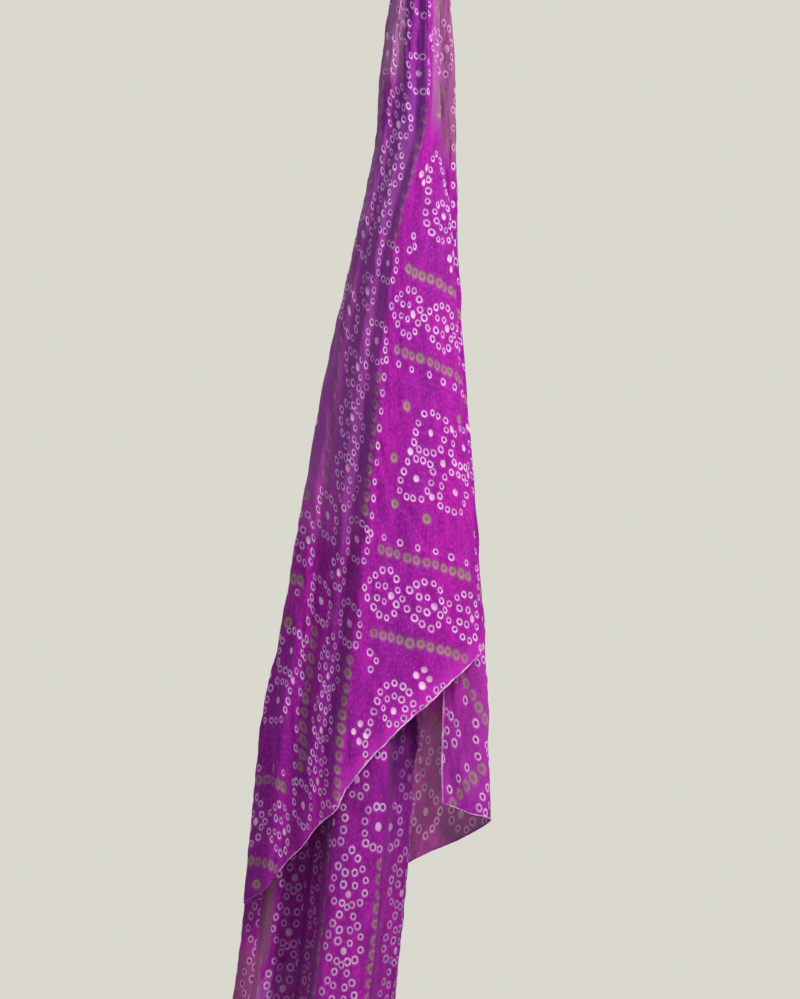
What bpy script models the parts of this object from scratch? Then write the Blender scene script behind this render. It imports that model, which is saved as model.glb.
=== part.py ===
"""A bandhani dupatta (a long sheer stole) slung over a short wall rail.

The cloth is gathered over the bar of the rail and falls on both sides of it: a shorter
fall in front, with a hem that climbs from left to right, and a longer one behind, which
is pleated at the left and opens into a flap at the right. Every stretch of cloth is a
thin wall, lofted through its fold lines. Each row of a fold table is one fold line: how
far across the outline it runs at four heights, how far it stands from the wall at three,
and the height at which it ends on the hem.

Tables are in millimetres, +X to the right, +Y into the wall, +Z up. The origin is on the
wall, behind the middle of the rail's plate.
"""

import bisect
import math

import bmesh
import bpy

MM = 0.001
GAP = 0.3
SEAM = 0.6
WALL = 1.3

# The rail: a flat plate and a round bar bent to a U, which stands out from it.
PLATE_SIZE = (104.0, 4.0, 34.0)
PLATE_EDGE = 1.2
BAR_RADIUS = 5.0
BAR_OUT = 65.0
BAR_SPAN = 70.0
BEND_RADIUS = 12.0
BEND_STEPS = 8

# The cloth's own measures.
JOIN_Z = -30.0
STEPS_DOWN = 22
STEPS_DOWN_BACK = 24
PER_FOLD = 3
PER_FOLD_FRONT = 4
STEPS_OVER = 18
ROUND_SHARE = 0.45

# The outline seen from the front: the height, and the cloth's left and right edge there.
OUTLINE = (
    # height, left, right
    (0.0, -22.0, 22.0),
    (-165.0, -28.5, 41.0),
    (-235.0, -31.5, 52.0),
    (-300.0, -29.5, 58.5),
    (-430.0, -41.0, 73.0),
    (-560.0, -59.0, 92.0),
    (-700.0, -72.0, 116.0),
    (-870.0, -86.0, 142.0),
    (-1000.0, -99.0, 158.0),
    (-1060.0, -99.0, 165.0),
    (-1180.0, -100.0, 166.0),
    (-1320.0, -104.0, 166.0),
)

# Heights at which the fold tables give a place across (0 is the outline's left edge and
# 1 its right edge), and heights at which they give the distance from the wall.
ACROSS_AT = (-30.0, -280.0, -430.0, -1000.0)
OUT_AT = (-30.0, -430.0, -1000.0)

FRONT_FALL = (
    # fold, across at four heights, out from the wall at three, hem
    ("right_return", (0.74, 0.72, 0.86, 0.90), (73.0, 51.0, 46.5), -862.0),
    ("right_fold", (0.80, 0.79, 0.95, 1.00), (76.0, 51.0, 47.0), -870.0),
    ("facet_outer", (0.74, 0.755, 0.80, 0.80), (82.0, 82.0, 82.0), -917.0),
    ("facet_inner", (0.66, 0.70, 0.60, 0.545), (84.0, 98.0, 111.0), -980.0),
    ("ridge", (0.58, 0.61, 0.39, 0.352), (86.0, 107.0, 126.0), -1048.0),
    ("ridge_valley", (0.50, 0.50, 0.335, 0.312), (82.0, 97.0, 110.0), -1064.0),
    ("leaf_rise", (0.42, 0.37, 0.23, 0.245), (85.0, 97.0, 108.0), -1088.0),
    ("left_valley", (0.34, 0.24, 0.14, 0.165), (81.0, 83.0, 90.0), -1120.0),
    ("left_rise", (0.27, 0.12, 0.06, 0.09), (83.0, 78.0, 87.0), -1150.0),
    ("left_fold", (0.17, 0.03, 0.00, 0.00), (77.0, 55.0, 59.0), -1175.0),
    ("left_return", (0.26, 0.11, 0.08, 0.065), (72.5, 54.0, 58.0), -1168.0),
)

BACK_SHEET = (
    # the flap
    ("selvage", (0.92, 0.86, 0.84, 0.795), (57.0, 44.0, 36.0), -1048.0),
    ("flap_face", (0.95, 0.93, 0.92, 0.91), (54.5, 44.0, 40.0), -1057.0),
    ("right_fold", (1.00, 1.00, 1.00, 1.00), (50.0, 37.0, 31.0), -1063.0),
    ("rear_right", (0.90, 0.90, 0.90, 0.87), (45.0, 26.0, 18.0), -1092.0),
    ("rear_flap", (0.78, 0.78, 0.78, 0.75), (47.5, 32.0, 22.0), -1108.0),
    ("rear_inner", (0.67, 0.66, 0.67, 0.655), (44.5, 24.0, 14.0), -1126.0),
    ("flap_end", (0.57, 0.55, 0.57, 0.54), (47.5, 34.0, 28.0), -1152.0),
    # the pleats
    ("rear_centre", (0.46, 0.42, 0.44, 0.41), (44.5, 22.0, 13.0), -1186.0),
    ("rear_left", (0.35, 0.28, 0.30, 0.26), (47.5, 34.0, 27.0), -1226.0),
    ("rear_outer", (0.23, 0.13, 0.14, 0.12), (44.5, 24.0, 15.0), -1264.0),
    ("left_fold", (0.06, 0.00, 0.00, 0.00), (50.0, 38.0, 34.0), -1298.0),
    ("left_face", (0.15, 0.045, 0.04, 0.03), (54.0, 45.0, 46.0), -1306.0),
    ("left_edge", (0.21, 0.11, 0.09, 0.085), (56.0, 47.0, 50.0), -1310.0),
    ("dip_left", (0.27, 0.20, 0.17, 0.17), (53.0, 44.0, 40.0), -1306.0),
    ("dip_right", (0.36, 0.30, 0.27, 0.30), (54.0, 48.0, 42.0), -1300.0),
    ("strip_left", (0.40, 0.36, 0.33, 0.335), (57.0, 72.0, 90.0), -1296.0),
    ("strip_middle", (0.50, 0.48, 0.45, 0.44), (58.5, 80.0, 100.0), -1290.0),
    ("strip_right", (0.60, 0.58, 0.58, 0.575), (57.0, 76.0, 98.0), -1284.0),
    ("side_edge", (0.66, 0.62, 0.64, 0.665), (54.0, 58.0, 62.0), -1276.0),
    ("tuck", (0.59, 0.54, 0.56, 0.585), (51.0, 48.0, 46.0), -1270.0),
    ("tuck_return", (0.50, 0.48, 0.48, 0.47), (53.5, 58.0, 60.0), -1266.0),
    ("hidden_selvage", (0.44, 0.42, 0.41, 0.38), (51.5, 52.0, 56.0), -1262.0),
)
FLAP_ENDS_AT = "flap_end"

# The gather over the bar joins a fold of the front fall to a fold of the sheet behind.
# On top of the bar, its valleys lie on the bar and its ridges stand off it.
VALLEY = 6.1
RIDGE = 9.4
OVER_BAR = (
    # front fold, back fold, distance from the bar's axis on top
    ("right_return", "selvage", VALLEY),
    ("right_fold", "right_fold", 7.8),
    ("facet_outer", "rear_right", RIDGE),
    ("facet_inner", "rear_flap", VALLEY),
    ("ridge", "rear_inner", RIDGE),
    ("ridge_valley", "flap_end", VALLEY),
    ("leaf_rise", "rear_centre", RIDGE),
    ("left_valley", "rear_left", VALLEY),
    ("left_rise", "rear_outer", RIDGE),
    ("left_fold", "left_fold", 7.8),
    ("left_return", "left_face", VALLEY),
)

PURPLE = (0.42, 0.015, 0.40, 1.0)
DEEP_PURPLE = (0.30, 0.012, 0.30, 1.0)
STEEL = (0.62, 0.62, 0.60, 1.0)


def through(stations, values, at):
    """A smooth curve through falling stations, without overshoot, read at one of them."""
    steps = [stations[i] - stations[i + 1] for i in range(len(stations) - 1)]
    slopes = [(values[i + 1] - values[i]) / steps[i] for i in range(len(steps))]
    tangents = [slopes[0]]
    for before, after in zip(slopes, slopes[1:]):
        tangents.append(0.0 if before * after <= 0 else 2 * before * after / (before + after))
    tangents.append(slopes[-1])
    at = min(max(at, stations[-1]), stations[0])
    i = min(bisect.bisect_right([-s for s in stations], -at) - 1, len(steps) - 1)
    t = (stations[i] - at) / steps[i]
    rise = values[i + 1] - values[i]
    first = tangents[i] * steps[i]
    last = tangents[i + 1] * steps[i]
    return values[i] + t * (first + t * (3 * rise - 2 * first - last + t * (first + last - 2 * rise)))


def outline(height):
    heights = [row[0] for row in OUTLINE]
    left = through(heights, [row[1] for row in OUTLINE], height)
    right = through(heights, [row[2] for row in OUTLINE], height)
    return left, right


def on_fold(row, height):
    """The point of a fold line at a height."""
    left, right = outline(height)
    across = through(ACROSS_AT, row[1], height)
    return (left + across * (right - left), -through(OUT_AT, row[2], height), height)


def rounded(points, per_segment):
    """A centripetal Catmull-Rom curve through points, per_segment steps between two of them."""
    first = [2 * a - b for a, b in zip(points[0], points[1])]
    last = [2 * a - b for a, b in zip(points[-1], points[-2])]
    ends = [first, *points, last]
    curve = []
    for i in range(1, len(ends) - 2):
        four = ends[i - 1 : i + 3]
        knots = [0.0]
        for a, b in zip(four, four[1:]):
            knots.append(knots[-1] + math.sqrt(math.dist(a, b)))
        for step in range(per_segment):
            at = knots[1] + (knots[2] - knots[1]) * step / per_segment
            curve.append(blended(four, knots, at))
    curve.append(tuple(points[-1]))
    return curve


def blended(four, knots, at):
    """One point of a Catmull-Rom segment, by Barry and Goldman's pyramid."""
    level = [tuple(p) for p in four]
    for width in (1, 2, 3):
        spans = [(knots[i], knots[i + width]) for i in range(4 - width)]
        if width == 3:
            spans = [(knots[1], knots[2])]
        elif width == 2:
            spans = [(knots[0], knots[2]), (knots[1], knots[3])]
        level = [
            tuple(p + (q - p) * (at - a) / (b - a) for p, q in zip(level[i], level[i + 1]))
            for i, (a, b) in enumerate(spans)
        ]
    return level[0]


def fall(rows, steps, per_fold):
    """Cloth that hangs along its fold lines, as rings of points from the top to the hem."""
    rings = []
    for step in range(steps + 1):
        part = step / steps
        ring = [on_fold(row, JOIN_Z + part * (row[3] - JOIN_Z)) for row in rows]
        rings.append(rounded(ring, per_fold))
    return rings


def parted(rings, cut):
    """The cloth in two at one column of points, with a seam's gap between the halves."""
    first = [ring[: cut + 1] for ring in rings]
    second = [ring[cut:] for ring in rings]
    for half, edge, inner in ((first, -1, -2), (second, 0, 1)):
        for ring in half:
            share = SEAM / 2 / math.dist(ring[edge], ring[inner])
            ring[edge] = tuple(
                e + (n - e) * share for e, n in zip(ring[edge], ring[inner])
            )
    return first, second


def over_bar():
    """The gather: up from the front fall, round over the bar and down to the sheet behind."""
    front = {row[0]: on_fold(row, JOIN_Z) for row in FRONT_FALL}
    back = {row[0]: on_fold(row, JOIN_Z) for row in BACK_SHEET}
    rings = []
    for step in range(STEPS_OVER + 1):
        place = 2 * step / STEPS_OVER - 1
        turn = math.pi / 2 * (1 + min(max(place / ROUND_SHARE, -1), 1))
        drop = max(abs(place) - ROUND_SHARE, 0) / (1 - ROUND_SHARE) * (JOIN_Z + GAP)
        behind = (1 + math.sin(place * math.pi / 2)) / 2
        on_top = math.cos(place * math.pi / 2) ** 2
        ring = []
        for front_fold, back_fold, top_reach in OVER_BAR:
            a, b = front[front_fold], back[back_fold]
            reach = -BAR_OUT - a[1] if place < 0 else b[1] + BAR_OUT
            reach += on_top * (top_reach - reach)
            x = a[0] + behind * (b[0] - a[0])
            y = -BAR_OUT - reach * math.cos(turn)
            ring.append((x, y, drop + reach * math.sin(turn)))
        rings.append(rounded(ring, PER_FOLD))
    return rings


def material(name, color, roughness, metallic=0.0):
    made = bpy.data.materials.new(name)
    made.use_nodes = True
    shader = made.node_tree.nodes["Principled BSDF"]
    shader.inputs["Base Color"].default_value = color
    shader.inputs["Roughness"].default_value = roughness
    shader.inputs["Metallic"].default_value = metallic
    return made


def cloth(name, rings, color, collection):
    """One stretch of cloth: a grid laid on the rings of points, thickened to the wall."""
    down, across = len(rings), len(rings[0])
    mesh = bpy.data.meshes.new(name)
    shape = bmesh.new()
    bmesh.ops.create_grid(shape, x_segments=across - 1, y_segments=down - 1, size=1.0)
    shape.verts.ensure_lookup_table()
    for j, ring in enumerate(rings):
        for i, point in enumerate(ring):
            shape.verts[j * across + i].co = [c * MM for c in point]
    shape.to_mesh(mesh)
    shape.free()
    mesh.shade_smooth()
    piece = bpy.data.objects.new(name, mesh)
    collection.objects.link(piece)
    wall = piece.modifiers.new("Wall", "SOLIDIFY")
    wall.thickness = WALL * MM
    wall.offset = 0.0
    mesh.materials.append(material(name + "_cloth", color, 0.8))
    return piece


def wall_plate(collection):
    bpy.ops.mesh.primitive_cube_add(size=1.0, location=(0.0, -PLATE_SIZE[1] / 2 * MM, 0.0))
    plate = bpy.context.object
    plate.name = plate.data.name = "wall_plate"
    plate.dimensions = [s * MM for s in PLATE_SIZE]
    bpy.ops.object.transform_apply(location=False, rotation=False, scale=True)
    edge = plate.modifiers.new("Edge", "BEVEL")
    edge.width = PLATE_EDGE * MM
    edge.segments = 2
    plate.data.materials.append(material("plate_steel", STEEL, 0.35, 1.0))
    for owner in list(plate.users_collection):
        owner.objects.unlink(plate)
    collection.objects.link(plate)


def rail(collection):
    """A round bar from the plate, out, across and back to the plate."""
    half = BAR_SPAN / 2
    foot = -PLATE_SIZE[1] - GAP
    route = [(-half, foot)]
    for side in (-1, 1):
        centre = (side * (half - BEND_RADIUS), -BAR_OUT + BEND_RADIUS)
        for i in range(BEND_STEPS + 1):
            turn = math.pi / 2 * i / BEND_STEPS
            turn = turn if side < 0 else math.pi / 2 - turn
            x = centre[0] + side * BEND_RADIUS * math.cos(turn)
            y = centre[1] - BEND_RADIUS * math.sin(turn)
            route.append((x, y))
    route.append((half, foot))
    curve = bpy.data.curves.new("rail", "CURVE")
    curve.dimensions = "3D"
    curve.bevel_depth = BAR_RADIUS * MM
    curve.bevel_resolution = 3
    curve.use_fill_caps = True
    line = curve.splines.new("POLY")
    line.points.add(len(route) - 1)
    for point, (x, y) in zip(line.points, route):
        point.co = (x * MM, y * MM, 0.0, 1.0)
    bar = bpy.data.objects.new("rail", curve)
    curve.materials.append(material("rail_steel", STEEL, 0.3, 1.0))
    collection.objects.link(bar)


def main():
    for old in list(bpy.data.objects):
        bpy.data.objects.remove(old)
    collection = bpy.data.collections.new("dupatta_on_wall_rail")
    bpy.context.scene.collection.children.link(collection)
    wall_plate(collection)
    rail(collection)
    cloth("over_rail", over_bar(), PURPLE, collection)
    cloth("front_fall", fall(FRONT_FALL, STEPS_DOWN, PER_FOLD_FRONT), PURPLE, collection)
    sheet = fall(BACK_SHEET, STEPS_DOWN_BACK, PER_FOLD)
    last_fold = [row[0] for row in BACK_SHEET].index(FLAP_ENDS_AT)
    flap, back = parted(sheet, last_fold * PER_FOLD + PER_FOLD // 2)
    cloth("side_flap", flap, PURPLE, collection)
    cloth("back_fall", back, DEEP_PURPLE, collection)


main()
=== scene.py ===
"""The looks of a bandhani dupatta slung over a short wall rail.

The sheer cloth is modelled as single sheets of fine mesh on the same fold lines as the
solids: a gather over the bar, the front fall, the side flap and the back fall. Each point
of a sheet knows its place in the uncut cloth, across (u) and along (v), so the tie-dyed
repeat, the creases and the weave all follow the folds.

The fold tables are in millimetres, +X to the right, +Y into the wall, +Z up.
"""

import math

import bpy
import numpy as np
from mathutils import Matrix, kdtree


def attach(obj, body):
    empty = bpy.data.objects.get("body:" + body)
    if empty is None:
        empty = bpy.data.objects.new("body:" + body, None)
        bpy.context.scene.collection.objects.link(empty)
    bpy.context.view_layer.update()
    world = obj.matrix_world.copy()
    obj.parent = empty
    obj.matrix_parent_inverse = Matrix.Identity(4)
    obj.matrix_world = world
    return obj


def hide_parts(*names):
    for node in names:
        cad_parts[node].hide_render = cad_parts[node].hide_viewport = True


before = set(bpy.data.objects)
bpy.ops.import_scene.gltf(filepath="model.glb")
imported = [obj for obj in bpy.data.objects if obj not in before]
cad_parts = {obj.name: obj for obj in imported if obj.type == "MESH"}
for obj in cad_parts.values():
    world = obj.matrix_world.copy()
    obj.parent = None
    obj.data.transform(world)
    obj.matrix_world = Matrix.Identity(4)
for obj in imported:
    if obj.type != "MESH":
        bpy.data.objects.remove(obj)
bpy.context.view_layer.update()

MM = 0.001
RNG_SEED = 7

# What each point of a sheet holds: its place, and its place in the uncut cloth.
X, Y, Z, U, V = range(5)
PLACE = slice(0, 3)

# ---- The rail and the cloth's fold lines, as the solids have them ----

PLATE_DEPTH = 4
GAP = 0.3
BAR_RADIUS = 5
BAR_OUT = 65
BAR_SPAN = 70
BEND_RADIUS = 12
JOIN_Z = -30
BEND_STEPS = 16
BAR_ROUNDNESS = 8
ROLL_ROUNDNESS = 2
# The share of each half of the way over the bar that is bent round it.
ROUND_SHARE = 0.45

OUTLINE = np.array((
    # height, left, right
    (0, -22.0, 22.0),
    (-165, -28.5, 41),
    (-235, -31.5, 52),
    (-300, -29.5, 58.5),
    (-430, -41, 73),
    (-560, -59, 92),
    (-700, -72, 116),
    (-870, -86, 142),
    (-1000, -99, 158),
    (-1060, -99, 165),
    (-1180, -100, 166),
    (-1320, -104, 166),
))

ACROSS_AT = (-30, -280, -430, -1000)
OUT_AT = (-30, -430, -1000)
WARP_AT = (-60, -280, -550, -1000)
WEFT_AT = (-30, -254, -465, -1200)
WEFT = (0, 234, 455, 1195)

FRONT_FALL = (
    # fold, across at four heights, out from the wall at three, hem,
    # place across the uncut cloth at four heights, how far its weft hangs below the ridge's
    ("right_return", (0.74, 0.72, 0.86, 0.90), (73, 51, 46.5), -862,
     (42, 74, 198, 268), (22, 16, 32, 42)),
    ("right_fold", (0.80, 0.79, 0.95, 1.00), (76, 51, 47), -870,
     (35, 64, 174, 246), (20, 14, 28, 38)),
    ("facet_outer", (0.74, 0.755, 0.80, 0.80), (82, 82, 82), -917,
     (19, 43, 110, 160), (11, 8, 16, 22)),
    ("facet_inner", (0.66, 0.70, 0.60, 0.545), (84, 98, 111), -980,
     (9, 28, 60, 75), (5, 4, 8, 10)),
    ("ridge", (0.58, 0.61, 0.39, 0.352), (86, 107, 126), -1048,
     (0, 0, 0, 0), (0, 0, 0, 0)),
    ("ridge_valley", (0.50, 0.50, 0.335, 0.312), (82, 97, 110), -1064,
     (-7, -12, -14, -18), (-2, -2, -4, -5)),
    ("leaf_rise", (0.42, 0.37, 0.23, 0.245), (85, 97, 108), -1088,
     (-16, -31, -42, -62), (-6, -6, -12, -14)),
    ("left_valley", (0.34, 0.24, 0.14, 0.165), (81, 83, 90), -1120,
     (-27, -54, -68, -105), (-15, -15, -26, -28)),
    ("left_rise", (0.27, 0.12, 0.06, 0.09), (83, 78, 87), -1150,
     (-36, -73, -90, -150), (-25, -25, -44, -40)),
    ("left_fold", (0.17, 0.03, 0.00, 0.00), (77, 55, 59), -1175,
     (-50, -102, -114, -202), (-28, -28, -52, -34)),
    ("left_return", (0.26, 0.11, 0.08, 0.065), (72.5, 54, 58), -1168,
     (-58, -118, -140, -230), (-26, -26, -50, -32)),
)

BACK_SHEET = (
    # fold, across at four heights, out from the wall at three, hem
    ("selvage", (0.92, 0.86, 0.84, 0.795), (57, 44, 36), -1048),
    ("flap_face", (0.95, 0.93, 0.92, 0.91), (54.5, 44, 40), -1057),
    ("right_fold", (1.00, 1.00, 1.00, 1.00), (50, 37, 31), -1063),
    ("rear_right", (0.90, 0.90, 0.90, 0.87), (45, 26, 18), -1092),
    ("rear_flap", (0.78, 0.78, 0.78, 0.75), (47.5, 32, 22), -1108),
    ("rear_inner", (0.67, 0.66, 0.67, 0.655), (44.5, 24, 14), -1126),
    ("flap_end", (0.57, 0.55, 0.57, 0.54), (47.5, 34, 28), -1152),
    ("rear_centre", (0.46, 0.42, 0.44, 0.41), (44.5, 22, 13), -1186),
    ("rear_left", (0.35, 0.28, 0.30, 0.26), (47.5, 34, 27), -1226),
    ("rear_outer", (0.23, 0.13, 0.14, 0.12), (44.5, 24, 15), -1264),
    ("left_fold", (0.06, 0.00, 0.00, 0.00), (50, 38, 34), -1298),
    ("left_face", (0.15, 0.045, 0.04, 0.03), (54, 45, 46), -1306),
    ("left_edge", (0.21, 0.11, 0.09, 0.085), (56, 47, 50), -1310),
    ("dip_left", (0.27, 0.20, 0.17, 0.17), (53, 44, 40), -1306),
    ("dip_right", (0.36, 0.30, 0.27, 0.30), (54, 48, 42), -1300),
    ("strip_left", (0.40, 0.36, 0.33, 0.335), (57, 72, 90), -1296),
    ("strip_middle", (0.50, 0.48, 0.45, 0.44), (58.5, 80, 100), -1290),
    ("strip_right", (0.60, 0.58, 0.58, 0.575), (57, 76, 98), -1284),
    ("side_edge", (0.66, 0.62, 0.64, 0.665), (54, 58, 62), -1276),
    ("tuck", (0.59, 0.54, 0.56, 0.585), (51, 48, 46), -1270),
    ("tuck_return", (0.50, 0.48, 0.48, 0.47), (53.5, 58, 60), -1266),
    ("hidden_selvage", (0.44, 0.42, 0.41, 0.38), (51.5, 52, 56), -1262),
)
FLAP_ENDS_AT = "flap_end"

# Each fold in front goes on over the bar into one behind, in this order, without the flap's
# face. On top they lie this far from the bar's axis.
MET_BEHIND = [row for row in BACK_SHEET if row[0] != "flap_face"]
VALLEY = 6.1
EDGE = 7.8
RIDGE = 9.4
TOP_REACH = (VALLEY, EDGE, RIDGE, VALLEY, RIDGE, VALLEY, RIDGE, VALLEY, RIDGE, EDGE, VALLEY)

# The mesh: a point about every CELL of cloth across, and every ROW of height.
CELL = 2.7
ROW = 3
PER_FOLD = 24
OVER_BAR_STEPS = 33
# Cells are spaced by the cloth in them, and by this share of the room that they take up.
SPACED_BY_ROOM = 0.4

# ---- How the sheets are gathered, tucked, folded away and curled, in millimetres ----

PLEATS = 15
PLEAT_DEPTH = 1.5
PLEAT_FADE = 110
PLEAT_SWAYS = (
    # share of a pleat, waves across the gather, phase
    (0.35, 2.3, 0.8),
    (0.2, 5.1, 0),
)
CRINKLE_FREE_ROWS = 12
# High up, the flap's selvage lies further in, from TUCK_LOW to TUCK_HIGH and on to the joint.
TUCK = 14
TUCK_LOW = -430
TUCK_HIGH = -300
TUCK_FADE = 60
# The hollow beside the bright strip starts between the first two places across the cloth
# and ends between the last two.
HOLLOW_ACROSS = (3, 17, 37, 65)
HOLLOW_Z = -975
HOLLOW_HEIGHT = 52
HOLLOW_DEPTH = 20
HOLLOW_REST = 7
HOLLOW_FADE = 60
HOLLOW_BULGE = 8
HOLLOW_BULGE_REACH = 30
FOLDED_AWAY = (
    # from u, to u, how much more of the cloth lies hidden between them
    (2, 8, 218),
    (-96, -140, -181),
    (-169, -176, -287),
    (-236, -242, -266),
)
# The flap hangs by its corner, so on the way down its cloth turns about a pivot.
FLAP_TURN = math.radians(52)
FLAP_PIVOT_V = -1019
FLAP_SHIFT = (-9, 195)
TURN_FROM = -420
TURN_BY = -930
FAN_AT = (-60, -280, -550, -900)
FAN = (0.28, 0.42, 0.66, 1)
FLAP_HIDDEN = (-35, 60)
FLAP_HIDDEN_OVER = 12
HEM_CURL = 8
HEM_CURL_HEIGHT = 22
HEM_CURL_LEAST = 0.25
HEM_CURL_AT = 30
HEM_CURL_REACH = 55
HEM_WAVES = (
    # millimetres a wave along the hem, height
    (47, 0.9),
    (83, 1.3),
)
# A painted highlight on the curled hem: its strength, how high up it reaches, and where across it
# starts.
HEM_PAINTED_HIGHLIGHT = 0.65
HEM_LIT_HEIGHT = 34
HEM_LIT_FROM = (-90, 40)
# The rolled edges: their radii, and how thin and thick they get from one place to another.
FRONT_HEM_ROLL = 0.65
CORNER_ROLL = 0.45
FLAP_HEM_ROLL = 0.45
REAR_HEM_ROLL = 0.9
SELVAGE_ROLL = 1.1
BACK_HEM_ROLL = 0.55
HEM_DARK_FROM = -122
FRONT_HEM_TAPER = (0.7, 1.4, -60, 20)
SELVAGE_TAPER = (0.3, 1, 840, 930)

# ---- The tie-dyed repeat, in millimetres of uncut cloth ----

REPEAT = 308
BAND = 90
PANEL = REPEAT - BAND
WEFT_START = 452
DRAWN_IN = 1.45
BACK_SCALE = 0.90
BACK_START = -151
STRIP_LEFT_WARP = 6
LOW_DOWN = np.array([-1000.0])
DOT = (5.1, 4.3)
SOLID_DOT = (5, 4.4)
LINE_DOT = (8.8, 7.2)
LINE_DOTS = 15
LINE_END = 2
DOT_WOBBLE = 0.55
DOT_STRENGTH = (0.62, 1)
LINE_STRENGTH = 0.70
DOT_SPREAD = (0.88, 1.12)
DOT_MARGIN = 20
LEAVES = 3
# The leaves of a band: how far apart they are, and how much longer than their chart.
LEAF_BAND = (56, 1.05)
LEAF_BAND_ACROSS = (66, 1.15)
WIDEST_FACE = 7.5
PUCKER = 0.75
PUCKER_REACH = 1.25

# Motifs charted one half each: x across from the middle, y up.
LEAF = (
    # x, y, solid
    (0, -27, 0),
    (9.5, -20, 0),
    (17.5, -11, 0),
    (23.5, -0.5, 0),
    (25, 11, 0),
    (18.5, 20.5, 0),
    (7.5, 23.5, 0),
    (0, 14, 1),
    (8.5, 5, 0),
    (7, -6.5, 0),
)
PAISLEY_AT = (-27, 31)
PAISLEY_CORE_AT = (-27, 33)
PAISLEY_RADIUS = 30.5
PAISLEY_TAIL = 38
PAISLEY_TAPER = 22
PAISLEY_CURL = 0.2
PAISLEY_LEAN = 232
PAISLEY_DOTS = 21
PAISLEY_CLUSTERS = ((9, 75), (-76, 1), (66, -62), (70, 30))
PAISLEY_RINGS = (
    (-76, 87), (-66, 82), (-73, 71),
    (13, 42), (21, 54), (30, 65), (41, 71),
)
PAISLEY_SPOTS = ((58, 76), (62, -12), (8, -30), (30, -84), (-58, -84))
CLUSTER = ((0, 9.5), (9.5, 0), (0, -9.5), (-9.5, 0))
# Petals: how far out they stand, their radii, and how many rings go round each.
CROSSING_PETALS = ((35, 45), (20, 20.5), 12)
FLOWER_PETALS = ((33, 27.5), (24, 22), 13)
# Cores: two radii, how many rings go round, and where the first one is, in radians.
CROSSING_CORE = (15, 17, 8, 0.4)
PAISLEY_CORE = (17, 15.5, 9, 0.3)
FLOWER_AT = (20, 5)
FLOWER_SOLIDS = ((0, 0), (55, 0), (0, 41), (-55, 0), (0, -41))
FLOWER_SPOTS = ((-47, 53), (52, 62), (-62, -7), (-54, -55), (-2, -62))
FLOWER_SKEW = 0.36
PETAL_SQUARE = 3.6
# The rest of a leaf that the flap's selvage cuts, and a ring by its fold, as places (u, v).
FLAP_RINGS = (
    (-784, -827), (-776, -823), (-765, -820), (-755, -823),
    (-751, -834), (-768, -837), (-734, -804),
)
FRAME_REACH = 95
FRAME_GAPS_ACROSS = 7
FRAME_GAPS_DOWN = 10

# ---- Creases laid on the folds, in millimetres of uncut cloth ----

FRONT_CREASES = (
    # from u, from v, to u, to v, width, depth outwards
    (30, 240, 44, 520, 9, -3),
    (44, 480, 92, 820, 13, -3.2),
    (18, 620, 34, 930, 8, 2.5),
    (120, 560, 96, 800, 12, 2.8),
    (150, 640, 190, 860, 11, -2.8),
    (176, 460, 168, 640, 8, 2.1),
    (70, 830, 130, 905, 9, 3),
    (40, 900, 84, 985, 8, -2.8),
    (8, 930, 22, 1040, 6, 2.7),
    (-30, 300, -24, 560, 7, 2.3),
    (-54, 640, -40, 900, 8, -2.7),
    (-70, 820, -84, 1080, 8, 2.5),
    (-100, 520, -96, 760, 8, 2.1),
    (-128, 800, -140, 1130, 10, -2.8),
    (-172, 900, -160, 1160, 9, 2.5),
    (-36, 950, -30, 1090, 7, -2.3),
    # finer ones, sharp and thin
    (4, 636, 46, 690, 4, 2.2),
    (46, 686, 126, 756, 4.2, 2.2),
    (70, 842, -16, 962, 11, -4),
    (54, 846, 60, 990, 3.2, -1.8),
    (90, 800, 66, 905, 3, 1.2),
    (110, 610, 152, 700, 4, -1.5),
    (30, 300, 60, 420, 4, 1.5),
    (74, 470, 104, 590, 4, -1.5),
    (-60, 600, -52, 760, 2.8, 1.2),
    (-120, 760, -104, 930, 3, -1.3),
    (-178, 980, -150, 1130, 3.2, 1.4),
    (24, 1000, 70, 930, 4, 1.6),
)
BACK_CREASES = (
    # share of the sheet across, from height, to height, lean in share, width, depth
    (0.035, -880, -1030, 0.012, 8, 2.2),
    (0.075, -820, -1050, -0.014, 10, -2.5),
    (0.135, -640, -1010, 0.020, 12, 2.7),
    (0.185, -500, -900, -0.016, 11, -2.5),
    (0.235, -820, -1090, 0.016, 10, 2.4),
    (0.285, -420, -800, 0.014, 11, 2.4),
    (0.325, -760, -1120, -0.014, 12, -2.7),
    (0.385, -560, -1000, 0.012, 10, 2.5),
    (0.425, -880, -1230, 0.014, 11, 2.4),
    (0.470, -700, -1180, -0.012, 10, -2.4),
    (0.560, -1060, -1290, 0.008, 7, 1.9),
    (0.640, -980, -1280, 0.006, 6, -1.7),
    (0.705, -1000, -1270, 0.010, 8, 2.2),
    (0.745, -1080, -1285, -0.010, 7, -2),
    (0.790, -1000, -1280, 0.008, 6, 1.7),
    (0.850, -960, -1260, 0.010, 8, -2.2),
)

CLOTH_OPACITY = 0.95
TONE_EDGE = 4
TONE_FADE = 22
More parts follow.
